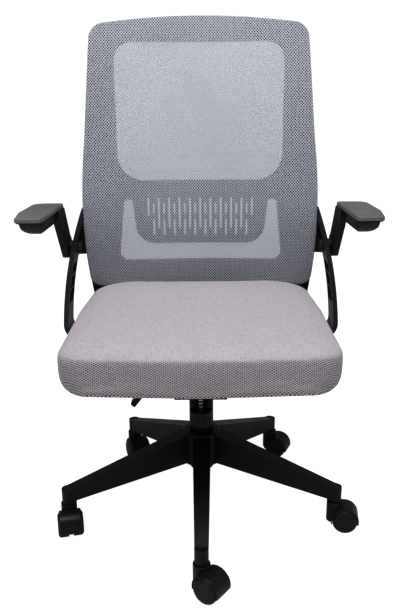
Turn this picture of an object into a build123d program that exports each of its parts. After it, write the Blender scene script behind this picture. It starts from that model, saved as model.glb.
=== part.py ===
from build123d import *
import math
import os

# Office chair with a mesh back and flip-up arms, in millimetres, +Z up.
# The origin is on the floor, on the axis of the gas column. The sitter faces -Y.

# Fits and clearances
running_fit = 0.06      # radial play of a pin or shaft that turns or slides
press_gap = 0.05        # radial gap of a pressed or tapered seat
skin_gap = 0.3          # gap between pieces that only lie close together
bolt_play = 0.4         # radial play of a bolt in its hole
over = 1.0              # how far a cutting shape passes beyond the face that it opens

# Castors
wheel_radius = 25.0
wheel_width = 21.0
wheel_edge = 7.0        # rounding of a wheel's outer rim
wheel_rim = 5.0         # thickness of the tread ring seen from inside
wheel_hub_radius = 9.0
wheel_pocket_depth = 12.0
castor_trail = 21.0     # stem axis to axle, seen from above
castor_web = 8.0        # middle wall between the two wheels
wheel_play = 0.6        # gap round a wheel, and between a wheel and the middle wall
hood_shell = 2.6
hood_edge = 2.2         # rounding of the hood's side edges
hood_skirt = 19.0       # height of the hood's lower edge above the floor
web_clear = 3.0         # height of the middle wall's lower edge above the floor
collar_radius = 16.0
collar_top = 61.4
stem_radius = 5.5
stem_depth = 17.0       # length of stem held in the hood
stem_reach = 23.0       # length of stem held in the leg
stem_flange_radius = 9.0
stem_flange = 1.8
axle_radius = 4.0
axle_bite = 14.0        # length of axle inside each wheel
castor_names = ["front", "right_front", "right_rear", "left_rear", "left_front"]
castor_headings = [-37.0, -8.0, -24.0, -66.0, -76.0]

# Five-legged base
castor_circle = 286.0   # column axis to a castor stem
first_leg_angle = -90.0
hub_radius = 40.0
hub_bottom = 112.0
hub_top = 182.0
leg_root_width = 37.0
leg_root_bottom = 116.0
leg_root_top = 180.0
leg_tip_width = 25.0
leg_tip_height = 27.0
leg_edge = 5.0
leg_wall = 3.2
boss_radius = 13.0
boss_drop = 3.0         # how far the castor boss hangs below the leg's tip
ribs_per_leg = 3

# Gas column
tube_radius = 25.0
tube_taper = 1.0        # loss of radius over the height of the hub
tube_bore = 22.4
tube_bottom = 96.0
tube_top = 268.0
tube_floor = 4.0
bearing_radius = 17.0
bearing_height = 6.0
bush_length = 54.0
bush_flange = 3.0
cylinder_radius = 14.0
cylinder_bore = 11.5
cylinder_bottom = 114.0
cylinder_seal = 10.0
cylinder_top = 321.0
lift_stroke = 90.0
lift_spare = 15.0       # bore left below the piston at full height
rod_radius = 5.0
rod_neck_radius = 4.2
rod_washer_radius = 10.0
rod_washer = 2.0
piston_height = 9.0
piston_headroom = 4.0
rod_tail = 2.0          # length of rod below its clip
clip_mouth_share = 0.8  # half opening of the clip as a share of the rod's neck
bump_stop_height = 4.0
bump_stop_radius = 10.5
clip_radius = 9.0
clip_height = 2.0
release_pin_radius = 4.0
release_pin_length = 26.0
release_pin_proud = 5.2
release_travel = 5.5
release_pin_round = 2.4

# Tilt mechanism under the seat
housing_half_width = 50.0
housing_front = -126.0
housing_rear = 46.0
housing_floor_z = 303.0
housing_sheet = 3.0
housing_rear_top = 325.0
stop_lip_height = 4.0   # front lip that the seat plate rests on
stop_lip_length = 6.0
socket_radius = 20.0
socket_bottom = 274.0
socket_taper = 0.6
tilt_y = -55.0
tilt_z = 334.0
tilt_pin_radius = 5.0
tilt_pin_head = 8.0
tilt_pin_head_height = 2.2
plate_bottom = 350.0
plate_sheet = 3.0
plate_half_width = 96.0
plate_front = -128.0
plate_rear = 106.0
flange_half_length = 20.0
flange_drop = 24.0
tension_y = -100.0
tension_bolt_radius = 4.0
tension_head_radius = 8.0
tension_head_height = 4.0
tension_slot_run = 9.0  # forward swing of the bolt at the housing floor
tension_slot_play = 1.3
tension_head_play = 2.0
knob_radius = 22.0
knob_height = 30.0
knob_top = 272.0
knob_grips = 10
knob_grip_radius = 3.4
knob_grip_inset = 2.0   # depth of a finger groove
spring_wire_radius = 2.0
spring_radius = 12.0
spring_turns = 4
spring_points_per_turn = 36

# Height lever
lever_rod_radius = 3.5
lever_pivot_x = -58.0
lever_inner_reach = 6.0   # how far the rod passes over the column axis
lever_bend_radius = 14.0
lever_droop = 52.0        # degrees below level
lever_outer_length = 112.0
lever_pin_radius = 2.0
lug_thickness = 4.0
lug_half_height = 7.0
paddle_length = 76.0
paddle_width = 27.0
paddle_thickness = 12.0
paddle_edge = 4.5
paddle_end_wall = 4.0     # material beyond the end of the rod
paddle_root_share = 0.7   # width at the rod's side as a share of the full width

# Seat
seat_half_width = 252.0
seat_front = -246.0
seat_front_bow = 14.0     # how far the middle of the front edge stands forward
seat_rear = 234.0
seat_rear_half_width = 240.0
seat_taper_start = 40.0
seat_front_corner = 56.0
seat_rear_corner = 80.0
seat_side_radius = 420.0
seat_front_radius = 900.0
cushion_bottom = 356.0
cushion_crown = 449.0     # top of the crown above the column
cushion_rows = 14
bulge_share = 0.35        # height of the widest line as a share of the thickness
bottom_draw = 10.0
crown_draw = 120.0
crown_power = 10
seat_pitch = 2.6          # degrees that the top falls towards the front
pan_inset = 34.0
pan_thickness = 12.0
seat_bolt_x = 74.0
seat_bolt_y = [-98.0, 82.0]
bolt_radius = 3.0
bolt_head_radius = 6.0
bolt_head_height = 4.0
bolt_bite = 9.0           # length of bolt inside the pan

# Back panel
# Heights, and the distance of the panel's front face behind the column axis at its middle
back_profile = [
    (350.0, 262.0), (440.0, 243.0), (600.0, 216.0),
    (750.0, 227.0), (900.0, 256.0), (1050.0, 298.0),
]
back_wing = 28.0          # how far the side edges stand forward of the middle
back_bottom = 396.0
back_top = 1028.0
back_shoulder = 1013.0    # height of the top edge at its corners
back_low_half = 249.0
back_waist_half = 258.0
back_waist_z = 622.0
back_upper_half = 249.0
back_upper_z = 775.0
back_top_half = 237.0
back_top_corner = 34.0
back_low_corner = 24.0
frame_plate = 4.0
frame_rim = 16.0
frame_rim_width = 6.0
window_flange = 5.0
window_top = 974.0
window_bottom = 680.0
window_top_half = 188.0
window_bottom_half = 181.0
window_top_corner = 38.0
window_bottom_corner = 58.0
cradle_bottom = 497.0     # lower edge of the U-shaped opening
cradle_low_half = 186.0
cradle_tip_z = 639.0
cradle_tip_outer = 170.0
cradle_tip_inner = 151.0
tongue_bottom = 539.0
tongue_half = 140.0
tongue_corner = 42.0
cradle_corner = 20.0
cradle_tip_round = 0.42   # corner radius of a tip as a share of its width
slot_columns = 21
slot_pitch = 11.6
slot_width = 5.0
slot_top = 643.0
slot_long_bottom = 572.0
slot_side_bottom = 603.0
slot_short_spans = [(605.0, 631.0), (557.0, 593.0)]
mesh_thickness = 1.6
mesh_hem = 440.0
mesh_wrap = 9.0           # how far the fabric folds back round the frame's edge

# Uprights between seat and back
strap_thickness = 10.0
strap_depth = 64.0
foot_inner_x = 130.0
foot_front_y = 100.0
strap_x = 295.0           # middle of the strap where it leaves the seat
strap_bend = 34.0
strap_top_x = 256.0
strap_top_z = 622.0
strap_top_front_y = 184.0
bridge_bottom = 516.0
bridge_top = 592.0
bridge_inner_x = 196.0
bridge_thickness = 9.0
foot_bolt_x = [152.0, 192.0]
back_bolt_x = 218.0
back_bolt_z = [532.0, 576.0]
back_bolt_bite = 6.0
strap_rib_pitch = 30.0
strap_rib = 3.0
strap_pocket = 5.0
strap_margin = 6.0
frame_boss_radius = 8.0

# Arms
arm_pivot_y = 178.0
arm_pivot_z = 540.0
arm_pin_radius = 6.0
arm_pin_inner_x = 264.0
arm_boss_radius = 14.0
arm_disc_radius = 25.0
arm_disc_inner_x = 289.4
arm_outer_x = 305.0
arm_neck_inner_x = 290.6
arm_cap_radius = 13.0
arm_cap_height = 3.0
pad_top = 640.0
pad_thickness = 8.0
pad_front = -66.0
pad_rear = 152.0
pad_inner_x = 293.0
pad_outer_x = 343.0
pad_bulge = 13.0
pad_corner = 8.0
pad_rear_corner = 26.0
pad_edge = 2.2
neck_top_front = 86.0
hull_inner_x = 298.0
hull_outer_x = 342.0
hull_depth = 34.0
hull_shoulder = 3.0
hull_front = -42.0
hull_belly_front = 14.0
hull_belly_rear = 80.0


# Simple shapes
def disc(radius, bottom, top):
    return Pos(0, 0, (bottom + top) / 2) * Cylinder(radius, top - bottom)


def ring(outer, inner, bottom, top):
    return disc(outer, bottom, top) - disc(inner, bottom - over, top + over)


def bar_x(radius, x0, x1, y, z):
    return Pos((x0 + x1) / 2, y, z) * Rot(0, 90, 0) * Cylinder(radius, x1 - x0)


def bar_y(radius, y0, y1, x, z):
    return Pos(x, (y0 + y1) / 2, z) * Rot(90, 0, 0) * Cylinder(radius, y1 - y0)


def block(x0, x1, y0, y1, z0, z1):
    return Pos((x0 + x1) / 2, (y0 + y1) / 2, (z0 + z1) / 2) * Box(x1 - x0, y1 - y0, z1 - z0)


def slab_x(outline, x0, x1):
    """Extrude an outline drawn in (Y, Z) from x0 to x1."""
    plane = Plane(origin=(x0, 0, 0), x_dir=(0, 1, 0), z_dir=(1, 0, 0))
    return extrude(plane * outline, x1 - x0)


def slab_y(outline, y0, y1):
    """Extrude an outline drawn in (X, Z) from y0 to y1."""
    plane = Plane(origin=(0, y1, 0), x_dir=(1, 0, 0), z_dir=(0, -1, 0))
    return extrude(plane * outline, y1 - y0)


def slab_z(outline, z0, z1):
    return extrude(Pos(0, 0, z0) * outline, z1 - z0)


def rounded(points, radii):
    """Closed outline with one corner radius for each point."""
    return make_face(FilletPolyline(*points, radius=radii, close=True))


def mirrored(shape):
    return mirror(shape, about=Plane.YZ)


def one_solid(shape):
    """The largest solid of a shape that a cut may have split."""
    return max(shape.solids(), key=lambda solid: solid.volume)


# Castors, drawn with the stem on the Z axis and the wheels trailing along +X
wheel_inner_y = castor_web / 2 + wheel_play
wheel_outer_y = wheel_inner_y + wheel_width
hood_half_width = wheel_outer_y - wheel_edge / 2
hood_radius = wheel_radius + wheel_play + hood_shell
stem_flange_bottom = collar_top + skin_gap
boss_bottom = stem_flange_bottom + stem_flange + skin_gap
boss_top = boss_bottom + boss_drop + leg_tip_height


def castor_wheel():
    body = bar_y(wheel_radius, wheel_inner_y, wheel_outer_y, castor_trail, wheel_radius)
    rims = body.edges().filter_by(GeomType.CIRCLE)
    body = fillet(rims.group_by(Axis.Y)[-1], wheel_edge)
    pocket_start = wheel_inner_y - over
    pocket = bar_y(wheel_radius - wheel_rim, pocket_start, wheel_inner_y + wheel_pocket_depth,
                   castor_trail, wheel_radius)
    pocket -= bar_y(wheel_hub_radius, pocket_start - over, wheel_outer_y, castor_trail, wheel_radius)
    bore = bar_y(axle_radius + running_fit, pocket_start, wheel_inner_y + axle_bite + wheel_play,
                 castor_trail, wheel_radius)
    return body - pocket - bore


def castor_hood():
    drum = bar_y(hood_radius, -hood_half_width, hood_half_width, castor_trail, wheel_radius)
    drum = fillet(drum.edges().filter_by(GeomType.CIRCLE), hood_edge)
    collar = disc(collar_radius, hood_skirt, collar_top)
    body = drum + collar
    reach = castor_trail + 2 * hood_radius
    body -= block(-reach, reach, -reach, reach, -reach, hood_skirt)
    for side in (1, -1):
        y0, y1 = sorted((side * castor_web / 2, side * (hood_half_width + over)))
        body -= bar_y(wheel_radius + wheel_play, y0, y1, castor_trail, wheel_radius)
    body += bar_y(wheel_radius - web_clear, -castor_web / 2, castor_web / 2, castor_trail, wheel_radius)
    body -= disc(stem_radius + press_gap, collar_top - stem_depth, collar_top + over)
    body -= bar_y(axle_radius + press_gap, -castor_web, castor_web, castor_trail, wheel_radius)
    return one_solid(body)


def castor_pins():
    stem = disc(stem_radius, collar_top - stem_depth + skin_gap, boss_bottom + stem_reach)
    stem += disc(stem_flange_radius, stem_flange_bottom, stem_flange_bottom + stem_flange)
    axle_reach = wheel_inner_y + axle_bite
    axle = bar_y(axle_radius, -axle_reach, axle_reach, castor_trail, wheel_radius)
    return Compound(children=[one_solid(stem), axle])


# Five-legged base
leg_root = (tube_radius + hub_radius) / 2
leg_tip_bottom = boss_bottom + boss_drop
leg_tip_top = leg_tip_bottom + leg_tip_height
above_base = 2 * hub_top


def leg_wedge(inset, drop):
    """Tapered leg along +X: its side view crossed with its plan."""
    side = Polyline((leg_root, leg_root_bottom - drop), (castor_circle, leg_tip_bottom - drop),
                    (castor_circle, leg_tip_top - inset), (leg_root, leg_root_top - inset), close=True)
    root_half = leg_root_width / 2 - inset
    tip_half = leg_tip_width / 2 - inset
    plan = Polyline((leg_root, -root_half), (castor_circle, -tip_half),
                    (castor_circle, tip_half), (leg_root, root_half), close=True)
    return slab_y(make_face(side), -leg_root_width, leg_root_width) & slab_z(make_face(plan), 0, above_base)


def leg():
    outside = leg_wedge(0, 0)
    top_edges = outside.faces().sort_by(Axis.Z)[-1].edges().sort_by(SortBy.LENGTH)[-2:]
    outside = fillet(top_edges, leg_edge)
    # Open channel underneath, stiffened by cross ribs
    channel_start = hub_radius + leg_wall
    channel_end = castor_circle - boss_radius - leg_wall
    hollow = leg_wedge(leg_wall, leg_root_bottom)
    hollow &= block(channel_start, channel_end, -leg_root_width, leg_root_width, 0, above_base)
    rib_step = (channel_end - channel_start) / (ribs_per_leg + 1)
    for index in range(ribs_per_leg):
        middle = channel_start + rib_step * (index + 1)
        hollow -= block(middle - leg_wall / 2, middle + leg_wall / 2,
                        -leg_root_width, leg_root_width, 0, above_base)
    boss = Pos(castor_circle, 0, 0) * disc(boss_radius, boss_bottom, boss_top)
    socket_top = boss_bottom + stem_reach + skin_gap
    socket = Pos(castor_circle, 0, 0) * disc(stem_radius + running_fit, boss_bottom - over, socket_top)
    return outside - hollow + boss - socket


def tube_profile(extra):
    """Half section of the column tube's outside, grown by extra."""
    low = tube_radius - tube_taper + extra
    high = tube_radius + extra
    return [(low, hub_bottom), (high, hub_top)]


def turned(points):
    """Solid of revolution about Z from a half section of (radius, height) points."""
    face = make_face(Polyline(*[(r, 0, z) for r, z in points], close=True))
    return revolve(face, Axis.Z)


def star_base():
    base = disc(hub_radius, hub_bottom, hub_top)
    base = fillet(base.edges().group_by(Axis.Z)[-1], leg_edge)
    one_leg = leg()
    base += [Rot(0, 0, leg_angle(index)) * one_leg for index in range(len(castor_names))]
    (low, bottom), (high, top) = tube_profile(press_gap)
    below, above = bottom - leg_root_width, top + leg_root_width
    bore = turned([(0, below), (low, below), (low, bottom), (high, top), (high, above), (0, above)])
    return one_solid(base - bore)


def leg_angle(index):
    return first_leg_angle + index * 360.0 / len(castor_names)


def castor_place(index):
    angle = math.radians(leg_angle(index))
    spot = Pos(castor_circle * math.cos(angle), castor_circle * math.sin(angle), 0)
    return spot * Rot(0, 0, castor_headings[index])


# Gas column
bearing_bottom = tube_bottom + tube_floor
bearing_top = bearing_bottom + bearing_height
rod_shoulder = bearing_top
bump_bottom = rod_shoulder + rod_washer
bore_bottom = cylinder_bottom + cylinder_seal
piston_top = bore_bottom + lift_spare + lift_stroke + piston_height
bore_top = piston_top + piston_headroom
valve_bottom = cylinder_top + release_pin_proud - release_pin_length
release_pin_top = cylinder_top + release_pin_proud


def column_tube():
    (low, bottom), (high, top) = tube_profile(0)
    tube = turned([(0, tube_bottom), (low, tube_bottom), (low, bottom),
                   (high, top), (high, tube_top), (0, tube_top)])
    tube -= disc(tube_bore, bearing_bottom, tube_top + over)
    return tube - disc(rod_neck_radius + running_fit, tube_bottom - over, bearing_bottom + over)


def guide_bush():
    bush_bottom, bush_top = tube_top - bush_length, tube_top + bush_flange
    bush = disc(tube_bore - press_gap, bush_bottom, tube_top)
    bush += disc(tube_radius, tube_top, bush_top)
    return bush - disc(cylinder_radius + running_fit, bush_bottom - over, bush_top + over)


def thrust_bearing():
    return ring(bearing_radius, rod_neck_radius + running_fit, bearing_bottom, bearing_top)


def bump_stop():
    return ring(bump_stop_radius, rod_radius + press_gap, bump_bottom, bump_bottom + bump_stop_height)


def piston_rod():
    rod = disc(rod_neck_radius, tube_bottom - skin_gap - clip_height - rod_tail, rod_shoulder)
    rod += disc(rod_radius, rod_shoulder, piston_top)
    rod += disc(rod_washer_radius, rod_shoulder, rod_shoulder + rod_washer)
    rod += disc(cylinder_bore - running_fit, piston_top - piston_height, piston_top)
    return rod


def retaining_clip():
    clip_top = tube_bottom - skin_gap
    clip = ring(clip_radius, rod_neck_radius + press_gap, clip_top - clip_height, clip_top)
    mouth = rod_neck_radius * clip_mouth_share
    return one_solid(clip - block(0, clip_radius + over, -mouth, mouth, 0, tube_bottom))


def gas_cylinder():
    body = turned([
        (0, cylinder_bottom), (cylinder_radius, cylinder_bottom), (cylinder_radius, socket_bottom),
        (cylinder_radius - socket_taper, cylinder_top), (0, cylinder_top),
    ])
    body -= disc(rod_radius + running_fit, cylinder_bottom - over, bore_bottom + over)
    body -= disc(cylinder_bore, bore_bottom, bore_top)
    valve_floor = valve_bottom - release_travel - skin_gap
    return body - disc(release_pin_radius + running_fit, valve_floor, cylinder_top + over)


def release_pin():
    pin = disc(release_pin_radius, valve_bottom, release_pin_top)
    return fillet(pin.edges().group_by(Axis.Z)[-1], release_pin_round)


# Tilt mechanism
plate_top = plate_bottom + plate_sheet
housing_floor_top = housing_floor_z + housing_sheet
lever_z = release_pin_top + skin_gap + lever_rod_radius
lug_outer_x = lever_pivot_x - lug_half_height
stop_z = plate_bottom - skin_gap


def mechanism_housing():
    # Side view: level top in front of the tilt pin, falling away behind it
    wall_top = stop_z - stop_lip_height
    lip_rear = housing_front + stop_lip_length
    side = make_face(Polyline(
        (housing_front, housing_floor_z), (housing_rear, housing_floor_z),
        (housing_rear, housing_rear_top), (tilt_y + flange_half_length, wall_top),
        (lip_rear, wall_top), (lip_rear, stop_z), (housing_front, stop_z), close=True))
    box = slab_x(side, -housing_half_width, housing_half_width)
    inside = housing_half_width - housing_sheet
    box -= block(-inside, inside, housing_front + housing_sheet, housing_rear - housing_sheet,
                 housing_floor_top, plate_top)
    box += disc(socket_radius, socket_bottom, cylinder_top)
    taper_low = cylinder_radius + press_gap
    taper_high = taper_low - socket_taper
    mouth = socket_bottom - over
    box -= turned([(0, mouth), (taper_low, mouth), (taper_low, socket_bottom),
                   (taper_high, cylinder_top), (taper_high, stop_z), (0, stop_z)])
    # Holes for the tilt pin and a slot for the tension bolt
    wall_reach = housing_half_width + over
    box -= bar_x(tilt_pin_radius + running_fit, -wall_reach, wall_reach, tilt_y, tilt_z)
    slot_half = tension_bolt_radius + tension_slot_play
    slot_front, slot_top = tension_y - tension_slot_run, housing_floor_top + over
    for y in (tension_y, slot_front):
        box -= Pos(0, y, 0) * disc(slot_half, socket_bottom, slot_top)
    box -= block(-slot_half, slot_half, slot_front, tension_y, socket_bottom, slot_top)
    # Slot in the left wall for the lever, with two lugs that hold its pin
    gap = lever_rod_radius + skin_gap
    lug_bottom, lug_top = lever_z - lug_half_height, lever_z + lug_half_height / 2
    box -= block(-wall_reach, over - inside, -gap, gap, lug_bottom, stop_z + over)
    for side_sign in (1, -1):
        y0, y1 = sorted((side_sign * gap, side_sign * (gap + lug_thickness)))
        box += block(lug_outer_x, over - housing_half_width, y0, y1, lug_bottom, lug_top)
    lug_reach = gap + lug_thickness + over
    pin_hole = bar_y(lever_pin_radius + press_gap, -lug_reach, lug_reach, lever_pivot_x, lever_z)
    return one_solid(box - pin_hole)


flange_inner_x = housing_half_width + skin_gap
flange_outer_x = flange_inner_x + housing_sheet


def tilt_pin():
    reach = flange_outer_x + skin_gap
    pin = bar_x(tilt_pin_radius, -reach, reach, tilt_y, tilt_z)
    for side_sign in (1, -1):
        x0, x1 = sorted((side_sign * reach, side_sign * (reach + tilt_pin_head_height)))
        pin += bar_x(tilt_pin_head, x0, x1, tilt_y, tilt_z)
    return pin


def seat_plate():
    plate = block(-plate_half_width, plate_half_width, plate_front, plate_rear, plate_bottom, plate_top)
    plate = fillet(plate.edges().filter_by(Axis.Z), 3 * housing_sheet)
    for side_sign in (1, -1):
        x0, x1 = sorted((side_sign * flange_inner_x, side_sign * flange_outer_x))
        plate += block(x0, x1, tilt_y - flange_half_length, tilt_y + flange_half_length,
                       plate_bottom - flange_drop, plate_bottom)
    reach = flange_outer_x + over
    plate -= bar_x(tilt_pin_radius + running_fit, -reach, reach, tilt_y, tilt_z)
    for x, y in seat_bolt_places():
        plate -= Pos(x, y, 0) * disc(bolt_radius + bolt_play, plate_bottom - over, plate_top + over)
    bolt_hole = disc(tension_bolt_radius + bolt_play, plate_bottom - over, plate_top + over)
    return plate - Pos(0, tension_y, 0) * bolt_hole


def seat_bolt_places():
    return [(side * seat_bolt_x, y) for side in (1, -1) for y in seat_bolt_y]


def tension_bolt():
    bolt = disc(tension_bolt_radius, knob_top - knob_height / 2, plate_top)
    bolt += disc(tension_head_radius, plate_top, plate_top + tension_head_height)
    return Pos(0, tension_y, 0) * bolt


def tension_knob():
    knob = disc(knob_radius, knob_top - knob_height, knob_top)
    knob = fillet(knob.edges().filter_by(GeomType.CIRCLE), knob_grip_radius / 2)
    for index in range(knob_grips):
        turn = Rot(0, 0, index * 360.0 / knob_grips)
        groove = disc(knob_grip_radius, knob_top - knob_height - over, knob_top - knob_height / 4)
        knob -= turn * Pos(knob_radius + knob_grip_radius - knob_grip_inset, 0, 0) * groove
    bore_floor = knob_top - knob_height / 2 - skin_gap
    knob -= disc(tension_bolt_radius + running_fit, bore_floor, knob_top + over)
    return Pos(0, tension_y, 0) * knob


def tilt_spring():
    low = knob_top + skin_gap + spring_wire_radius
    high = housing_floor_z - skin_gap - spring_wire_radius
    pitch = (high - low) / spring_turns
    rise = pitch / (2 * math.pi)
    quarter = math.pi / 2

    def point(turn):
        return Vector(spring_radius * math.cos(turn), spring_radius * math.sin(turn), low + rise * turn)

    def tangent(turn):
        return Vector(-spring_radius * math.sin(turn), spring_radius * math.cos(turn), rise).normalized()

    # Each quarter turn is two arcs that meet with one tangent
    edges = []
    for index in range(4 * spring_turns):
        a, b = index * quarter, (index + 1) * quarter
        start, end, t0, t1 = point(a), point(b), tangent(a), tangent(b)
        span = end - start
        along = span.dot(t0 + t1)
        open_up = 2 * (1 - t0.dot(t1))
        reach = (-along + math.sqrt(along * along + open_up * span.dot(span))) / open_up
        middle = (start + end) * 0.5 + (t0 - t1) * (reach * 0.5)
        across = ((end - t1 * reach) - (start + t0 * reach)).normalized()
        edges.append(TangentArc(start, middle, tangent=t0))
        edges.append(TangentArc(middle, end, tangent=across))
    path = Wire(edges)
    section = Plane(origin=point(0), z_dir=tangent(0)) * Circle(spring_wire_radius)
    coil = sweep(section, path=path)
    # Least gap between turns, measured on points along the path at least half a turn apart
    samples = spring_points_per_turn * spring_turns
    points = [path @ (index / samples) for index in range(samples + 1)]
    apart = min((a - b).length for index, a in enumerate(points)
                for b in points[index + spring_points_per_turn // 2:])
    print("tilt spring: least gap between turns", round(apart - 2 * spring_wire_radius, 2))
    return Pos(0, tension_y, 0) * coil


# Height lever
def lever_path():
    droop = math.radians(lever_droop)
    setback = lever_bend_radius * math.tan(droop / 2)
    corner_x = lug_outer_x - setback
    inner_end = (lever_inner_reach, 0, lever_z)
    corner = (corner_x, 0, lever_z)
    outer_end = (corner_x - lever_outer_length * math.cos(droop), 0,
                 lever_z - lever_outer_length * math.sin(droop))
    return FilletPolyline(inner_end, corner, outer_end, radius=lever_bend_radius)


def height_lever():
    path = lever_path()
    section = Plane(origin=path @ 0, z_dir=path % 0) * Circle(lever_rod_radius)
    rod = sweep(section, path=path)
    reach = lever_rod_radius + over
    return rod - bar_y(lever_pin_radius + running_fit, -reach, reach, lever_pivot_x, lever_z)


def lever_pin():
    reach = lever_rod_radius + skin_gap + lug_thickness
    return bar_y(lever_pin_radius, -reach, reach, lever_pivot_x, lever_z)


def lever_paddle():
    path = lever_path()
    tip = path @ 1
    along = path % 1
    plane = Plane(origin=tip + along * paddle_end_wall, x_dir=(0, 1, 0), z_dir=-along)
    root_width = paddle_width * paddle_root_share
    body = loft([
        plane * RectangleRounded(paddle_width, paddle_thickness, paddle_edge),
        plane.offset(paddle_length) * RectangleRounded(root_width, paddle_thickness, paddle_edge),
    ])
    body = fillet(body.faces().sort_by(Axis.X)[0].edges(), paddle_edge / 2)
    rod_plane = Plane(origin=tip, x_dir=(0, 1, 0), z_dir=-along)
    return body - extrude(rod_plane * Circle(lever_rod_radius + press_gap), paddle_length + over)


# Seat
pan_bottom = plate_top
pan_top = pan_bottom + pan_thickness


def seat_outline(inset, front_inset):
    side = seat_half_width - inset
    rear_side = seat_rear_half_width - inset
    front = seat_front + seat_front_bow + front_inset
    middle = seat_front + front_inset
    rear = seat_rear - inset
    corner = seat_front_corner - inset / 3
    rear_corner = seat_rear_corner - inset / 3
    points = [(0, middle), (side, front), (side, seat_taper_start), (rear_side, rear),
              (-rear_side, rear), (-side, seat_taper_start), (-side, front)]
    radii = [seat_front_radius, corner, seat_side_radius, rear_corner,
             rear_corner, seat_side_radius, corner]
    return rounded(points, radii)


def seat_cushion():
    sections = []
    for row in range(cushion_rows + 1):
        share = row / cushion_rows
        level = cushion_bottom + share * (cushion_crown - cushion_bottom)
        # Drawn in under the bulge, and rolled over to a crown above it
        below = max(0.0, 1 - share / bulge_share)
        above = max(0.0, (share - bulge_share) / (1 - bulge_share))
        inset = bottom_draw * below ** 2 + crown_draw * above ** crown_power
        lean = Rot(seat_pitch * share ** 2, 0, 0)
        sections.append(Pos(0, 0, level) * lean * seat_outline(inset, inset))
    body = loft(sections, ruled=True)
    pocket = seat_outline(pan_inset - skin_gap, pan_inset - skin_gap)
    return body - slab_z(pocket, cushion_bottom - over, pan_top + skin_gap)


def seat_pan():
    pan = slab_z(seat_outline(pan_inset, pan_inset), pan_bottom, pan_top)
    bolt_hole = disc(bolt_radius + bolt_play, pan_bottom - over, pan_bottom + bolt_bite + over)
    for x, y in seat_bolt_places() + foot_bolt_places():
        pan -= Pos(x, y, 0) * bolt_hole
    head_top = pan_bottom + tension_head_height + skin_gap
    head_room = disc(tension_head_radius + tension_head_play, pan_bottom - over, head_top)
    return pan - Pos(0, tension_y, 0) * head_room


def bolt(x, y, head_bottom, shank_top):
    shape = disc(bolt_head_radius, head_bottom, head_bottom + bolt_head_height)
    shape += disc(bolt_radius, head_bottom + bolt_head_height, shank_top)
    return Pos(x, y, 0) * shape


def seat_bolts():
    return Compound(children=[bolt(x, y, plate_bottom - bolt_head_height, pan_bottom + bolt_bite)
                              for x, y in seat_bolt_places()])


# Back panel
def back_slab(front, rear):
    """Doubly curved slab between two offsets behind the panel's front face."""
    half = back_waist_half + 2 * back_wing
    forward = back_wing * (half / back_waist_half) ** 2
    sections = []
    for z, y in back_profile:
        y0, y1 = y + front, y + rear
        front_arc = ThreePointArc((-half, y0 - forward, z), (0, y0, z), (half, y0 - forward, z))
        rear_arc = ThreePointArc((half, y1 - forward, z), (0, y1, z), (-half, y1 - forward, z))
        right = Line(front_arc @ 1, rear_arc @ 0)
        left = Line(rear_arc @ 1, front_arc @ 0)
        sections.append(make_face([front_arc, right, rear_arc, left]))
    return loft(sections)


def back_outline(grow=0.0):
    """Front view of the panel, drawn in (X, Z)."""
    low_z = back_bottom + back_low_corner
    shoulder_z = back_shoulder - back_top_corner
    corner_x = back_top_half - back_top_corner
    bow = back_top_corner * (1 - math.sqrt(0.5))
    low = Polyline((-back_low_half, low_z), (back_low_corner - back_low_half, back_bottom),
                   (back_low_half - back_low_corner, back_bottom), (back_low_half, low_z))
    side = ThreePointArc((back_low_half, low_z), (back_waist_half, back_waist_z),
                         (back_upper_half, back_upper_z))
    side_top = Line((back_upper_half, back_upper_z), (back_top_half, shoulder_z))
    corner = ThreePointArc((back_top_half, shoulder_z), (back_top_half - bow, back_shoulder - bow),
                           (corner_x, back_shoulder))
    top = ThreePointArc((corner_x, back_shoulder), (0, back_top), (-corner_x, back_shoulder))
    right = [side, side_top, corner]
    left = [mirror(edge, about=Plane.YZ) for edge in right]
    edges = [edge for curve in [low, top] + right + left for edge in curve.edges()]
    face = make_face(edges)
    return offset(face, grow) if grow else face


def window_outline():
    return rounded(
        [(-window_bottom_half, window_bottom), (window_bottom_half, window_bottom),
         (window_top_half, window_top), (-window_top_half, window_top)],
        [window_bottom_corner, window_bottom_corner, window_top_corner, window_top_corner])


def cradle_outline():
    tip = (cradle_tip_outer - cradle_tip_inner) * cradle_tip_round
    points = [(-cradle_low_half, cradle_bottom), (cradle_low_half, cradle_bottom),
              (cradle_tip_outer, cradle_tip_z), (cradle_tip_inner, cradle_tip_z),
              (tongue_half, tongue_bottom), (-tongue_half, tongue_bottom),
              (-cradle_tip_inner, cradle_tip_z), (-cradle_tip_outer, cradle_tip_z)]
    radii = [cradle_corner, cradle_corner, tip, tip, tongue_corner, tongue_corner, tip, tip]
    return rounded(points, radii)


def slot(x, bottom, top):
    return Pos(x, (bottom + top) / 2) * Rot(0, 0, 90) * SlotOverall(top - bottom, slot_width)


def slot_outlines():
    slots = []
    for column in range(slot_columns):
        x = (column - (slot_columns - 1) / 2) * slot_pitch
        if column % 2:
            slots += [slot(x, bottom, top) for bottom, top in slot_short_spans]
        elif column in (0, slot_columns - 1):
            slots.append(slot(x, slot_side_bottom, slot_top))
        else:
            slots.append(slot(x, slot_long_bottom, slot_top))
    return slots


back_near_y = min(y for z, y in back_profile) - 2 * back_wing
behind_back = 3 * frame_rim
back_far_y = max(y for z, y in back_profile) + behind_back


def across_back(outline):
    return slab_y(outline, back_near_y, back_far_y)


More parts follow.
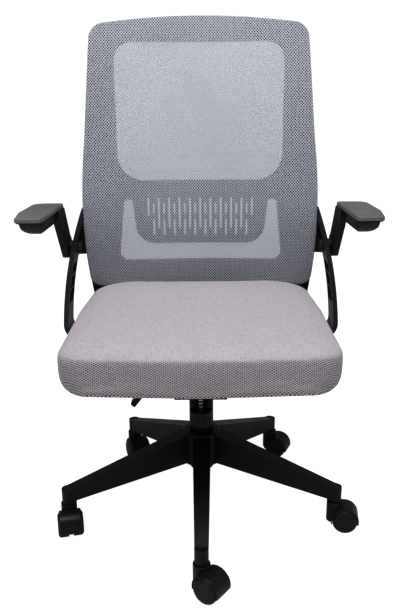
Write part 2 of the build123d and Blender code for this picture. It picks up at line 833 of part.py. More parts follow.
def back_frame():
    body = back_slab(0, frame_rim) & across_back(back_outline())
    # Hollow rear face, leaving the rim, a flange round each opening and a boss for each bolt
    hollow = back_outline(-frame_rim_width)
    hollow -= offset(window_outline(), window_flange)
    hollow -= offset(cradle_outline(), window_flange)
    hollow -= [Pos(x, z) * Circle(frame_boss_radius) for x, z in back_bolt_places()]
    body -= back_slab(frame_plate, behind_back) & across_back(hollow)
    body -= [across_back(cut) for cut in [window_outline(), cradle_outline()] + slot_outlines()]
    bolt_room = back_slab(frame_plate, behind_back)
    for x, z in back_bolt_places():
        body -= bar_y(bolt_radius + press_gap, back_near_y, back_far_y, x, z) & bolt_room
    return one_solid(body)


def back_mesh():
    grown = back_outline(skin_gap + mesh_thickness)
    grown -= Pos(0, mesh_hem - back_bottom / 2) * Rectangle(4 * back_waist_half, back_bottom)
    skin = back_slab(-skin_gap - mesh_thickness, mesh_wrap) & across_back(grown)
    inside = back_slab(-skin_gap, behind_back) & across_back(back_outline(skin_gap))
    return one_solid(skin - inside)


# Uprights
foot_top = pan_bottom
foot_middle_z = foot_top - strap_thickness / 2


def foot_bolt_places():
    return [(side * x, foot_front_y + strap_depth / 2) for side in (1, -1) for x in foot_bolt_x]


def back_bolt_places():
    return [(side * back_bolt_x, z) for side in (1, -1) for z in back_bolt_z]


def strap_path():
    foot_end = Vector(strap_x - strap_bend, 0, foot_middle_z)
    bend_end = Vector(strap_x, 0, foot_middle_z + strap_bend)
    foot = Line((foot_inner_x, 0, foot_middle_z), foot_end)
    bend = TangentArc(foot_end, bend_end, tangent=(1, 0, 0))
    rise = TangentArc(bend_end, (strap_top_x, 0, strap_top_z), tangent=(0, 0, 1))
    return foot, bend, rise


def strap_lean(inset):
    """Side view of the strap, leaning back as it rises, drawn in (Y, Z)."""
    low = foot_middle_z - strap_thickness
    knee = foot_top + strap_bend / 2
    high = strap_top_z + strap_thickness
    front, top_front = foot_front_y + inset, strap_top_front_y + inset
    rear, top_rear = foot_front_y + strap_depth - inset, strap_top_front_y + strap_depth - inset
    points = [(front, low), (front, knee), (top_front, high), (top_rear, high), (rear, knee), (rear, low)]
    return slab_x(make_face(Polyline(*points, close=True)), 0, 2 * strap_x)


def strap_sweep(edges, shift, thickness):
    """Wide band along the strap's path, moved outwards by shift."""
    path = Wire([edge for curve in edges for edge in curve.edges()])
    start = path @ 0
    along = path % 0
    plane = Plane(origin=start, x_dir=(0, 1, 0), z_dir=along)
    outwards = -1 if plane.y_dir.Z > 0 or plane.y_dir.X < 0 else 1
    section = plane * Pos(0, outwards * shift) * Rectangle(2 * back_far_y, thickness)
    return sweep(section, path=path)


def upright():
    foot, bend, rise = strap_path()
    strap = strap_sweep([foot, bend, rise], 0, strap_thickness) & strap_lean(0)
    # Ribbed pocket in the strap's inner face
    pocket = strap_sweep([rise], (strap_pocket - strap_thickness) / 2, strap_pocket + skin_gap)
    pocket &= strap_lean(strap_margin)
    low = foot_top + 2 * strap_bend
    pocket &= block(0, 2 * strap_x, 0, back_far_y, low, bridge_bottom - 2 * strap_margin)
    rib_z = low + strap_rib_pitch
    while rib_z < bridge_bottom - 2 * strap_margin:
        pocket -= block(0, 2 * strap_x, 0, back_far_y, rib_z - strap_rib / 2, rib_z + strap_rib / 2)
        rib_z += strap_rib_pitch
    strap -= pocket
    # Bridge that lies behind the back panel, ending at the strap's outer face
    bridge = back_slab(frame_rim + skin_gap, frame_rim + skin_gap + bridge_thickness)
    bridge &= block(bridge_inner_x, strap_x, 0, back_far_y, bridge_bottom, bridge_top)
    bridge -= strap_sweep([rise], strap_thickness, strap_thickness)
    body = strap + bridge
    body += bar_x(arm_boss_radius, arm_pin_inner_x, arm_disc_inner_x - skin_gap, arm_pivot_y, arm_pivot_z)
    # The panel's edge hides the strap's top, so nothing of it stands in front of the panel
    panel = back_outline(2 * skin_gap + mesh_thickness)
    body -= back_slab(-4 * frame_rim, frame_rim + skin_gap) & across_back(panel)
    body -= bar_x(arm_pin_radius + press_gap, 0, 2 * strap_x, arm_pivot_y, arm_pivot_z)
    for x, y in foot_bolt_places():
        body -= Pos(x, y, 0) * disc(bolt_radius + bolt_play, 0, foot_top + over)
    for z in back_bolt_z:
        body -= bar_y(bolt_radius + bolt_play, back_near_y, back_far_y, back_bolt_x, z)
    return one_solid(body)


def upright_bolts():
    head_bottom = foot_top - strap_thickness - bolt_head_height
    return Compound(children=[bolt(x, y, head_bottom, pan_bottom + bolt_bite)
                              for x, y in foot_bolt_places()])


def back_bolts():
    outer_face = frame_rim + skin_gap + bridge_thickness
    head_room = back_slab(outer_face, outer_face + bolt_head_height)
    shank_room = back_slab(frame_rim - back_bolt_bite, outer_face + bolt_head_height)
    bolts = []
    for x, z in back_bolt_places():
        head = bar_y(bolt_head_radius, back_near_y, back_far_y, x, z) & head_room
        shank = bar_y(bolt_radius, back_near_y, back_far_y, x, z) & shank_room
        bolts.append(one_solid(head + shank))
    return Compound(children=bolts)


# Arms, drawn for the +X side
pad_bottom = pad_top - pad_thickness


def pad_outline(inset):
    inner, front, rear = pad_inner_x + inset, pad_front + inset, pad_rear - inset
    outer, bulged = pad_outer_x - inset, pad_outer_x + pad_bulge - inset
    widest_y = (front + rear) / 2 - pad_rear_corner
    points = [(inner, front), (outer, front), (bulged, widest_y), (bulged, rear), (inner, rear)]
    return rounded(points, [pad_corner, pad_corner, 4 * pad_rear_corner, pad_rear_corner, pad_corner])


def arm_pad():
    pad = slab_z(pad_outline(0), pad_bottom, pad_top)
    return fillet(pad.edges().group_by(Axis.Z)[-1], pad_edge)


def arm_body():
    # Side view of the neck, from the pivot disc up to the rear of the pad
    run_y = (neck_top_front + pad_rear) / 2 - arm_pivot_y
    run_z = pad_bottom - arm_pivot_z
    run = math.hypot(run_y, run_z)
    across_y = arm_disc_radius * run_z / run
    across_z = -arm_disc_radius * run_y / run
    neck = make_face(Polyline(
        (arm_pivot_y - across_y, arm_pivot_z - across_z), (neck_top_front, pad_bottom - hull_depth / 2),
        (neck_top_front, pad_bottom), (pad_rear - pad_corner, pad_bottom),
        (arm_pivot_y + across_y, arm_pivot_z + across_z), close=True))
    body = slab_x(neck, arm_neck_inner_x, arm_outer_x)
    body += bar_x(arm_disc_radius, arm_disc_inner_x, arm_outer_x, arm_pivot_y, arm_pivot_z)
    # Rounded hull under the pad: a front view crossed with a side view
    shoulder = pad_bottom - hull_shoulder
    keel = pad_bottom - hull_depth
    middle_x = (hull_inner_x + hull_outer_x) / 2
    front_lines = Polyline((hull_outer_x, shoulder), (hull_outer_x, pad_bottom),
                           (hull_inner_x, pad_bottom), (hull_inner_x, shoulder))
    front_arc = ThreePointArc((hull_inner_x, shoulder), (middle_x, keel), (hull_outer_x, shoulder))
    front = make_face(front_lines.edges() + front_arc.edges())
    nose = pad_bottom - hull_shoulder / 2
    side_middle = ((hull_front + hull_belly_front) / 2, keel + hull_depth / 4)
    side_arc = ThreePointArc((hull_front, nose), side_middle, (hull_belly_front, keel))
    side_lines = Polyline((hull_belly_front, keel), (hull_belly_rear, keel),
                          (pad_rear - pad_rear_corner / 2, pad_bottom),
                          (hull_front, pad_bottom), (hull_front, nose))
    side = make_face(side_arc.edges() + side_lines.edges())
    body += slab_y(front, hull_front, pad_rear) & slab_x(side, hull_inner_x, hull_outer_x)
    body += slab_z(pad_outline(pad_edge), pad_bottom - pad_edge, pad_bottom)
    body -= bar_x(arm_pin_radius + running_fit, 0, 2 * arm_outer_x, arm_pivot_y, arm_pivot_z)
    return one_solid(body)


def arm_pivot_pin():
    cap_inner_x = arm_outer_x + skin_gap
    pin = bar_x(arm_pin_radius, arm_pin_inner_x, cap_inner_x, arm_pivot_y, arm_pivot_z)
    cap = bar_x(arm_cap_radius, cap_inner_x, cap_inner_x + arm_cap_height, arm_pivot_y, arm_pivot_z)
    return pin + fillet(cap.edges().group_by(Axis.X)[-1], arm_cap_height / 2)


def save(name, shape):
    export_step(shape, f"parts/{name}.step")


os.makedirs("parts", exist_ok=True)
save("star_base", star_base())
save("column_tube", column_tube())
save("guide_bush", guide_bush())
save("thrust_bearing", thrust_bearing())
save("piston_rod", piston_rod())
save("retaining_clip", retaining_clip())
save("bump_stop", bump_stop())
save("gas_cylinder", gas_cylinder())
save("release_pin", release_pin())
save("mechanism_housing", mechanism_housing())
save("tilt_pin", tilt_pin())
save("tilt_spring", tilt_spring())
save("seat_plate", seat_plate())
save("tension_bolt", tension_bolt())
save("tension_knob", tension_knob())
save("height_lever", height_lever())
save("lever_paddle", lever_paddle())
save("lever_pin", lever_pin())
save("seat_pan", seat_pan())
save("seat_cushion", seat_cushion())
save("seat_bolts", seat_bolts())
save("back_frame", back_frame())
save("back_mesh", back_mesh())
save("back_bolts", back_bolts())
save("upright_bolts", upright_bolts())

paired = {
    "upright": upright(),
    "arm_body": arm_body(),
    "arm_pad": arm_pad(),
    "arm_pivot_pin": arm_pivot_pin(),
}
for name, shape in paired.items():
    save(f"{name}_right", shape)
    save(f"{name}_left", mirrored(shape))

wheel = castor_wheel()
castor_pieces = {
    "hood": castor_hood(),
    "pins": castor_pins(),
    "wheel_a": wheel,
    "wheel_b": mirror(wheel, about=Plane.XZ),
}
for index, corner in enumerate(castor_names):
    for name, shape in castor_pieces.items():
        save(f"castor_{corner}_{name}", castor_place(index) * shape)
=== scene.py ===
import bmesh
import bpy
import math
from mathutils import Matrix, Vector
from mathutils.bvhtree import BVHTree


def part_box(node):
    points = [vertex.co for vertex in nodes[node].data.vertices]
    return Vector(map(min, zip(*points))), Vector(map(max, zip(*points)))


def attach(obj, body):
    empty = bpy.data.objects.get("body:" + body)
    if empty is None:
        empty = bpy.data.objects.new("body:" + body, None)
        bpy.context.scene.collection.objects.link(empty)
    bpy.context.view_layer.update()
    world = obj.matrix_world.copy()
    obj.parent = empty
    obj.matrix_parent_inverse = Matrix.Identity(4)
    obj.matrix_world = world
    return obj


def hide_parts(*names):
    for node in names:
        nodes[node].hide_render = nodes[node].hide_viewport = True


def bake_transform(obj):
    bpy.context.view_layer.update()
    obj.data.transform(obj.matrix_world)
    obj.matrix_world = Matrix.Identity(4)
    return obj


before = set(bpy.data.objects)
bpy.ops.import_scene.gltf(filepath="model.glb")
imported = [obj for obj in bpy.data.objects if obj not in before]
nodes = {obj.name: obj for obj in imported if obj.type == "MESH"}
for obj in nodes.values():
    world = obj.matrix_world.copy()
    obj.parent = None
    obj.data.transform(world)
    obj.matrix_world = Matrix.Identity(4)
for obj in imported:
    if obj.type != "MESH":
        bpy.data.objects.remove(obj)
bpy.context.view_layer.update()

# Camera
camera_place = (0.0093, -1.3176, 0.835)
camera_tilt = 73.9            # degrees up from straight down
camera_roll = -0.4            # degrees about the line of sight
camera_lens = 40.3            # millimetres, with the sensor's long side below
camera_sensor = 36.0
photo_gamma = 0.88            # below 1 deepens the dark tones, as in the photograph

# Stage: the floor's half side, and how bright backdrop and floor look and light
floor_reach = 14.0
floor_glow = 0.93
backdrop_glow = 1.12
backdrop_light = 0.22

# Lights: place, target, size and power in watts
lights = {
    "overhead": ((0.0, -0.6, 2.4), (0.0, -0.05, 0.45), (1.8, 1.0), 38.0),
    "front_left": ((-1.7, -2.2, 1.7), (0.0, 0.0, 0.55), (1.4, 1.6), 11.0),
    "front_right": ((1.9, -2.0, 1.5), (0.0, 0.0, 0.55), (1.2, 1.4), 8.5),
}

# Back cover, repeated from the solid in metres
cover_hem = 0.440
cover_hem_corner = 0.026
cover_wrap = 0.0085           # how far the cover folds back behind the frame's edge
# Rings of the edge that roll over the frame's rim: growth outwards and distance back
cover_roll = ((0.0008, 0.0006), (0.0013, 0.0022), (0.0013, cover_wrap))
back_low_half = 0.249
back_low_z = 0.420
back_waist_half = 0.258
back_waist_z = 0.622
back_upper_half = 0.249
back_upper_z = 0.775
back_top_half = 0.237
back_top_corner = 0.034
back_shoulder = 1.013
back_top = 1.028
cover_middle_z = 0.74
cover_lift = 0.0004           # sheet in front of the solid's front face
cover_rings = 70              # rings of faces from the middle out to the edge
hem_points = 26               # points along half of the hem
hem_corner_points = 12
side_points = 60
top_corner_points = 14
top_points = 52               # points along the whole top edge
side_arc_points = 64
ray_start = -0.5              # depth in front of the chair from which the solid's face is looked for
inward_step = 0.001           # share by which a point past the solid's edge is drawn in

# Mesh fabric: distance between holes along a row, and between every second row
seat_weave = (0.0072, 0.0045)
back_weave = (0.0058, 0.0068)

# Colours
seat_thread = ((0.50, 0.465, 0.50, 1), (0.63, 0.585, 0.625, 1))
# The seat's hole colour is painted shade: the near-black seen down into the knit's holes
seat_hole_painted_shade = (0.034, 0.026, 0.03, 1)
back_thread = ((0.54, 0.56, 0.64, 1), (0.59, 0.61, 0.69, 1))
hole_clear = (0.47, 0.47, 0.49, 1)    # light that gets past the filaments across a hole in the back
pad_grey = ((0.122, 0.127, 0.130, 1), (0.176, 0.183, 0.185, 1))
floor_grey = ((0.60, 0.60, 0.60, 1), (0.63, 0.63, 0.63, 1))
plywood_brown = ((0.30, 0.19, 0.10, 1), (0.47, 0.33, 0.19, 1))

# Seat
seat_voxel = 0.005
seat_swell = 0.003            # how far the cover stands off the solid's surface
seat_puff = 0.002             # most that a point may move while the cushion is puffed up
seat_pressure = 4.0
seat_puff_frames = 20
seat_pinned_below = 0.366
seat_relax_before = 4         # smoothing rounds before and after the puffing
seat_relax_after = 2
seat_crease = 0.002           # how far the front's upper edge is pulled out to its seam
seat_crease_from = 0.80       # an edge is pulled where the surface faces it by more than this cosine
seat_lower_edge = 0.004       # how far the front's lower edge is pulled out
seat_lower_from = 0.75
seat_droop = 0.001            # how far the front's lower edge hangs down
seat_droop_start = -0.10
seat_droop_full = -0.20
seat_low_band = 0.05          # height over which the droop fades out

# Tension spring: room for the bolt that swings inside it when the seat tilts
spring_wider = 0.001
spring_thinner = 0.0004


# Small helpers
def linked(name, mesh):
    piece = bpy.data.objects.new(name, mesh)
    bpy.context.scene.collection.objects.link(piece)
    return piece


def smooth(mesh):
    mesh.polygons.foreach_set("use_smooth", [True] * len(mesh.polygons))


def ease(value, start, end):
    """Smooth rise from 0 to 1 while value goes from start to end."""
    share = min(1.0, max(0.0, (value - start) / (end - start)))
    return share * share * (3 - 2 * share)


# Node materials
def new_material(name):
    material = bpy.data.materials.new(name)
    material.use_nodes = True
    material.node_tree.nodes.clear()
    return material, material.node_tree


def feed(tree, socket, value):
    """Link another node's output to a socket, or set the socket to a plain value."""
    if isinstance(value, bpy.types.NodeSocket):
        tree.links.new(value, socket)
    else:
        socket.default_value = value


def node(tree, kind, inputs=None, **settings):
    made = tree.nodes.new(kind)
    for name, value in settings.items():
        setattr(made, name, value)
    for name, value in (inputs or {}).items():
        feed(tree, made.inputs[name], value)
    return made


def calc(tree, operation, first, second=0.0, third=0.0):
    made = tree.nodes.new("ShaderNodeMath")
    made.operation = operation
    for socket, value in zip(made.inputs, (first, second, third)):
        feed(tree, socket, value)
    return made.outputs[0]


def step(tree, value, low, high, out_low=0.0, out_high=1.0):
    """Smooth change from out_low to out_high while value goes from low to high."""
    made = node(tree, "ShaderNodeMapRange", {"Value": value, "From Min": low, "From Max": high,
                                             "To Min": out_low, "To Max": out_high},
                interpolation_type="SMOOTHSTEP")
    return made.outputs["Result"]


def blend_colour(tree, share, first, second):
    made = node(tree, "ShaderNodeMix", data_type="RGBA")
    # A colour mix takes its share at input 0 and its colours at 6 and 7, and gives its result at output 2
    for number, value in ((0, share), (6, first), (7, second)):
        feed(tree, made.inputs[number], value)
    return made.outputs[2]


def noise(tree, place, scale, detail=2.0, roughness=0.5):
    made = node(tree, "ShaderNodeTexNoise", {"Vector": place, "Scale": scale, "Detail": detail,
                                             "Roughness": roughness})
    return made.outputs[0]


def object_place(tree):
    return node(tree, "ShaderNodeTexCoord").outputs["Object"]


def finish_material(tree, surface):
    node(tree, "ShaderNodeOutputMaterial", {"Surface": surface})


def moulded_plastic(name, colour, worn, rough, grain, grain_depth):
    """Moulded plastic: fine grain, a faint sheen that varies, and softened edges."""
    material, tree = new_material(name)
    place = object_place(tree)
    cloud = noise(tree, place, scale=14.0, detail=3.0)
    speck = noise(tree, place, scale=grain, detail=2.0, roughness=0.6)
    base = blend_colour(tree, step(tree, cloud, 0.4, 0.75), (*colour, 1), (*worn, 1))
    rounded_edge = node(tree, "ShaderNodeBevel", {"Radius": 0.0012}, samples=4).outputs[0]
    bump = node(tree, "ShaderNodeBump", {"Height": speck, "Strength": 0.35, "Distance": grain_depth,
                                         "Normal": rounded_edge}).outputs[0]
    shader = node(tree, "ShaderNodeBsdfPrincipled", {
        "Base Color": base, "Roughness": step(tree, cloud, 0.3, 0.8, rough - 0.05, rough + 0.06),
        "Specular IOR Level": 0.24, "Normal": bump})
    finish_material(tree, shader.outputs[0])
    return material


def metal(name, colour, rough, metallic, speckle):
    """Coated or bare metal with a light orange-peel surface."""
    material, tree = new_material(name)
    place = object_place(tree)
    peel = noise(tree, place, scale=speckle, detail=2.0)
    cloud = noise(tree, place, scale=30.0, detail=3.0)
    base = blend_colour(tree, step(tree, cloud, 0.35, 0.7), (*colour, 1), (*[c * 1.35 for c in colour], 1))
    bump = node(tree, "ShaderNodeBump", {"Height": peel, "Strength": 0.2, "Distance": 0.0002}).outputs[0]
    shader = node(tree, "ShaderNodeBsdfPrincipled", {
        "Base Color": base, "Metallic": metallic, "Normal": bump, "Specular IOR Level": 0.12,
        "Roughness": step(tree, peel, 0.3, 0.7, rough - 0.06, rough + 0.06)})
    finish_material(tree, shader.outputs[0])
    return material


def plywood(name):
    material, tree = new_material(name)
    place = object_place(tree)
    grain = node(tree, "ShaderNodeTexWave", {"Vector": place, "Scale": 9.0, "Distortion": 7.0, "Detail": 3.0,
                                             "Detail Scale": 1.5}, bands_direction="X").outputs[1]
    base = blend_colour(tree, grain, *plywood_brown)
    bump = node(tree, "ShaderNodeBump", {"Height": grain, "Strength": 0.15, "Distance": 0.0004}).outputs[0]
    shader = node(tree, "ShaderNodeBsdfPrincipled", {"Base Color": base, "Roughness": 0.6, "Normal": bump})
    finish_material(tree, shader.outputs[0])
    return material


def staggered_holes(tree, along, down, weave):
    """Wave that is 1 in the middle of each hole of a staggered knit and -1 midway between holes of a row."""
    across_wave = calc(tree, "COSINE", calc(tree, "MULTIPLY", along, 2 * math.pi / weave[0]))
    down_wave = calc(tree, "COSINE", calc(tree, "MULTIPLY", down, 2 * math.pi / weave[1]))
    return calc(tree, "MULTIPLY", across_wave, down_wave)


def split(tree, vector):
    parts = node(tree, "ShaderNodeSeparateXYZ", {"Vector": vector})
    return parts.outputs[0], parts.outputs[1], parts.outputs[2]


def seat_fabric():
    """Spacer mesh over foam: light threads round holes painted near-black as shade, with more of this painted
    shade on the front and sides than on the top.
    """
    material, tree = new_material("seat_mesh_fabric")
    coords = node(tree, "ShaderNodeTexCoord")
    place = coords.outputs["Object"]
    x, y, z = split(tree, place)
    normal_x, _, normal_z = split(tree, coords.outputs["Normal"])
    # Rows run across the top and on down the front, and along the sides
    falling = calc(tree, "MULTIPLY", z, calc(tree, "SIGN", y))
    top_wave = staggered_holes(tree, x, calc(tree, "SUBTRACT", y, falling), seat_weave)
    side_wave = staggered_holes(tree, y, z, seat_weave)
    sideways = step(tree, calc(tree, "ABSOLUTE", normal_x), 0.66, 0.78)
    turned = calc(tree, "SUBTRACT", side_wave, top_wave)
    wave = calc(tree, "MULTIPLY_ADD", sideways, turned, top_wave)
    # Painted shade in the holes: full on the front and sides, about a third as strong on the top
    hole_shade_share = step(tree, normal_z, 0.25, 0.62, 1.0, 0.36)
    hole = calc(tree, "MULTIPLY", step(tree, wave, 0.0, 0.40), hole_shade_share)
    cloud = noise(tree, place, scale=190.0, detail=3.0, roughness=0.7)
    thread = blend_colour(tree, step(tree, cloud, 0.3, 0.7), *seat_thread)
    base = blend_colour(tree, hole, thread, seat_hole_painted_shade)
    fuzz = noise(tree, place, scale=1400.0, detail=1.0)
    height = calc(tree, "MULTIPLY_ADD", fuzz, 0.25, calc(tree, "MULTIPLY", step(tree, wave, -0.6, 0.6), -1.0))
    bump = node(tree, "ShaderNodeBump", {"Height": height, "Strength": 0.45, "Distance": 0.0009}).outputs[0]
    shader = node(tree, "ShaderNodeBsdfPrincipled", {
        "Base Color": base, "Roughness": 0.85, "Specular IOR Level": 0.15, "Sheen Weight": 0.35,
        "Sheen Roughness": 0.45, "Sheen Tint": (0.92, 0.9, 0.95, 1), "Normal": bump})
    finish_material(tree, shader.outputs[0])
    return material


def back_fabric():
    """Open mesh: what lies behind shows through the holes, and a little light comes through the threads."""
    material, tree = new_material("back_mesh_fabric")
    place = object_place(tree)
    x, _, z = split(tree, place)
    wave = staggered_holes(tree, x, z, back_weave)
    hole = step(tree, wave, -0.12, 0.55)
    cloud = noise(tree, place, scale=5.0, detail=3.0)
    thread = blend_colour(tree, step(tree, cloud, 0.3, 0.7), *back_thread)
    fuzz = noise(tree, place, scale=1500.0, detail=1.0)
    height = calc(tree, "MULTIPLY_ADD", fuzz, 0.25, calc(tree, "MULTIPLY", wave, -1.0))
    bump = node(tree, "ShaderNodeBump", {"Height": height, "Strength": 0.4, "Distance": 0.0008}).outputs[0]
    solid = node(tree, "ShaderNodeBsdfPrincipled", {
        "Base Color": thread, "Roughness": 0.8, "Specular IOR Level": 0.15, "Sheen Weight": 0.2,
        "Sheen Roughness": 0.5, "Sheen Tint": (0.9, 0.92, 1.0, 1), "Normal": bump})
    through = node(tree, "ShaderNodeBsdfTranslucent", {"Color": thread})
    threads = node(tree, "ShaderNodeMixShader", {"Fac": 0.18})
    tree.links.new(solid.outputs[0], threads.inputs[1])
    tree.links.new(through.outputs[0], threads.inputs[2])
    opening = node(tree, "ShaderNodeBsdfTransparent", {"Color": hole_clear})
    whole = node(tree, "ShaderNodeMixShader", {"Fac": hole})
    tree.links.new(threads.outputs[0], whole.inputs[1])
    tree.links.new(opening.outputs[0], whole.inputs[2])
    finish_material(tree, whole.outputs[0])
    return material


def pad_skin(name):
    """Soft-touch arm pad: dark grey with a fine pebbled grain."""
    material, tree = new_material(name)
    place = object_place(tree)
    pebble = node(tree, "ShaderNodeTexVoronoi", {"Vector": place, "Scale": 620.0}).outputs[0]
    cloud = noise(tree, place, scale=12.0, detail=3.0)
    base = blend_colour(tree, step(tree, cloud, 0.3, 0.75), *pad_grey)
    rounded_edge = node(tree, "ShaderNodeBevel", {"Radius": 0.0015}, samples=4).outputs[0]
    bump = node(tree, "ShaderNodeBump", {"Height": pebble, "Strength": 0.3, "Distance": 0.0003,
                                         "Normal": rounded_edge}).outputs[0]
    shader = node(tree, "ShaderNodeBsdfPrincipled", {
        "Base Color": base, "Normal": bump, "Roughness": step(tree, cloud, 0.3, 0.8, 0.44, 0.56)})
    finish_material(tree, shader.outputs[0])
    return material


# Camera, floor and light
def make_camera():
    data = bpy.data.cameras.new("photo_camera")
    data.sensor_width = camera_sensor
    data.lens = camera_lens
    data.dof.use_dof = False
    camera = bpy.data.objects.new("photo_camera", data)
    camera.location = camera_place
    tilt = Matrix.Rotation(math.radians(camera_tilt), 3, "X")
    roll = Matrix.Rotation(math.radians(camera_roll), 3, "Z")
    camera.rotation_euler = (tilt @ roll).to_euler()
    bpy.context.scene.collection.objects.link(camera)
    bpy.context.scene.camera = camera


def make_floor():
    mesh = bpy.data.meshes.new("floor")
    corners = [(-1, -1), (1, -1), (1, 1), (-1, 1)]
    mesh.from_pydata([(x * floor_reach, y * floor_reach, 0) for x, y in corners], [], [(0, 1, 2, 3)])
    floor = linked("floor", mesh)
    material, tree = new_material("pale_floor")
    cloud = noise(tree, object_place(tree), scale=0.6, detail=2.0)
    base = blend_colour(tree, cloud, *floor_grey)
    # A pale floor that looks as bright as the backdrop, with soft shadows under the castors
    seen = node(tree, "ShaderNodeLightPath").outputs["Is Camera Ray"]
    shader = node(tree, "ShaderNodeBsdfPrincipled", {
        "Base Color": base, "Roughness": 0.9, "Specular IOR Level": 0.1,
        "Emission Color": (1, 1, 1, 1), "Emission Strength": calc(tree, "MULTIPLY", seen, floor_glow)})
    finish_material(tree, shader.outputs[0])
    mesh.materials.append(material)


def area_light(name, place, target, size, power):
    data = bpy.data.lights.new(name, "AREA")
    data.shape = "RECTANGLE"
    data.size, data.size_y = size
    data.energy = power
    light = bpy.data.objects.new(name, data)
    light.location = place
    direction = Vector(target) - Vector(place)
    light.rotation_euler = direction.to_track_quat("-Z", "Y").to_euler()
    bpy.context.scene.collection.objects.link(light)


def make_light():
    world = bpy.data.worlds.new("studio")
    world.use_nodes = True
    tree = world.node_tree
    tree.nodes.clear()
    # The backdrop looks white, and lights the object more softly than it looks
    seen = node(tree, "ShaderNodeLightPath").outputs["Is Camera Ray"]
    glow = step(tree, seen, 0.0, 1.0, backdrop_light, backdrop_glow)
    sky = node(tree, "ShaderNodeBackground", {"Color": (1, 1, 1, 1), "Strength": glow})
    node(tree, "ShaderNodeOutputWorld", {"Surface": sky.outputs[0]})
    bpy.context.scene.world = world
    for name, (place, target, size, power) in lights.items():
        area_light(name, place, target, size, power)


# Seat cushion, puffed up from its solid
def remeshed(source, name, voxel):
    """New object with an even mesh of the source's shape."""
    piece = linked(name, source.data.copy())
    modifier = piece.modifiers.new("even", "REMESH")
    modifier.mode = "VOXEL"
    modifier.voxel_size = voxel
    bake(piece)
    return piece


def bake(piece):
    graph = bpy.context.evaluated_depsgraph_get()
    mesh = bpy.data.meshes.new_from_object(piece.evaluated_get(graph))
    piece.modifiers.clear()
    piece.data = mesh


def puff(piece, pressure, most, pinned_below):
    """Inflate a closed cover a little, holding it where it is tucked under the seat."""
    rest = [vertex.co.copy() for vertex in piece.data.vertices]
    pinned = piece.vertex_groups.new(name="tucked")
    pinned.add([v.index for v in piece.data.vertices if v.co.z < pinned_below], 1.0, "REPLACE")
    cloth = piece.modifiers.new("puff", "CLOTH")
    cloth.settings.use_pressure = True
    cloth.settings.uniform_pressure_force = pressure
    cloth.settings.effector_weights.gravity = 0
    cloth.settings.vertex_group_mass = "tucked"
    for number in range(1, seat_puff_frames + 1):
        bpy.context.scene.frame_set(number)
    bake(piece)
    bpy.context.scene.frame_set(1)
    for vertex, start in zip(piece.data.vertices, rest):
        moved = vertex.co - start
        if moved.length > most:
            vertex.co = start + moved.normalized() * most


def relax(piece, rounds):
    modifier = piece.modifiers.new("relax", "SMOOTH")
    modifier.factor = 0.5
    modifier.iterations = rounds
    bake(piece)


def sharpen_front(pad):
    """Pull the front's upper and lower edges out to the sewn lines, and let the lower edge hang."""
    upper = Vector((0, -1, 1)).normalized()
    lower = Vector((0, -1, -1)).normalized()
    moves = []
    for vertex in pad.data.vertices:
        forward = ease(vertex.co.y, seat_droop_start, seat_droop_full)
        move = upper * (seat_crease * forward * ease(vertex.normal.dot(upper), seat_crease_from, 1.0))
        move += lower * (seat_lower_edge * forward * ease(vertex.normal.dot(lower), seat_lower_from, 1.0))
        low = 1 - ease(vertex.co.z, seat_pinned_below, seat_pinned_below + seat_low_band)
        move.z -= seat_droop * forward * low
        moves.append(move)
    for vertex, move in zip(pad.data.vertices, moves):
        vertex.co += move


def make_seat():
    pad = remeshed(nodes["seat_cushion"], "seat_pad", seat_voxel)
    relax(pad, seat_relax_before)
    # The cover is drawn tight underneath, so nothing swells downwards
    outward = [vertex.normal * seat_swell for vertex in pad.data.vertices]
    for vertex, move in zip(pad.data.vertices, outward):
        vertex.co += Vector((move.x, move.y, max(0.0, move.z)))
    puff(pad, seat_pressure, seat_puff, seat_pinned_below)
    relax(pad, seat_relax_after)
    sharpen_front(pad)
    pad.data.materials.clear()
    pad.data.materials.append(seat_fabric())
    fine = pad.modifiers.new("fine", "SUBSURF")
    fine.levels = fine.render_levels = 1
    bake(pad)
    smooth(pad.data)
    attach(pad, "seat")
    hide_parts("seat_cushion")


# Back cover: one open sheet stretched over the frame and folded round its edge
def arc_points(start, middle, end, count):
    """Points on the circle through three points, from start up to but not including end."""
    (ax, ay), (bx, by), (cx, cy) = start, middle, end
    d = 2 * (ax * (by - cy) + bx * (cy - ay) + cx * (ay - by))
    a2, b2, c2 = ax * ax + ay * ay, bx * bx + by * by, cx * cx + cy * cy
    ux = (a2 * (by - cy) + b2 * (cy - ay) + c2 * (ay - by)) / d
    uy = (a2 * (cx - bx) + b2 * (ax - cx) + c2 * (bx - ax)) / d
    radius = math.hypot(ax - ux, ay - uy)
    first = math.atan2(ay - uy, ax - ux)
    turn = math.atan2(cy - uy, cx - ux) - first
    turn = (turn + math.pi) % (2 * math.pi) - math.pi
    angles = [first + turn * i / count for i in range(count)]
    return [(ux + radius * math.cos(angle), uy + radius * math.sin(angle)) for angle in angles]


def line_points(start, end, count):
    return [(start[0] + (end[0] - start[0]) * i / count, start[1] + (end[1] - start[1]) * i / count)
            for i in range(count)]


def half_width(z):
    """Half width of the back's side edge at a height, below its top corner."""
    upper = (back_upper_half, back_upper_z)
    arc = arc_points((back_low_half, back_low_z), (back_waist_half, back_waist_z), upper, side_arc_points)
    arc.append(upper)
    for (x0, z0), (x1, z1) in zip(arc, arc[1:]):
        if z0 <= z <= z1:
            return x0 + (x1 - x0) * (z - z0) / (z1 - z0)
    shoulder_z = back_shoulder - back_top_corner
    share = (z - back_upper_z) / (shoulder_z - back_upper_z)
    return back_upper_half + (back_top_half - back_upper_half) * share


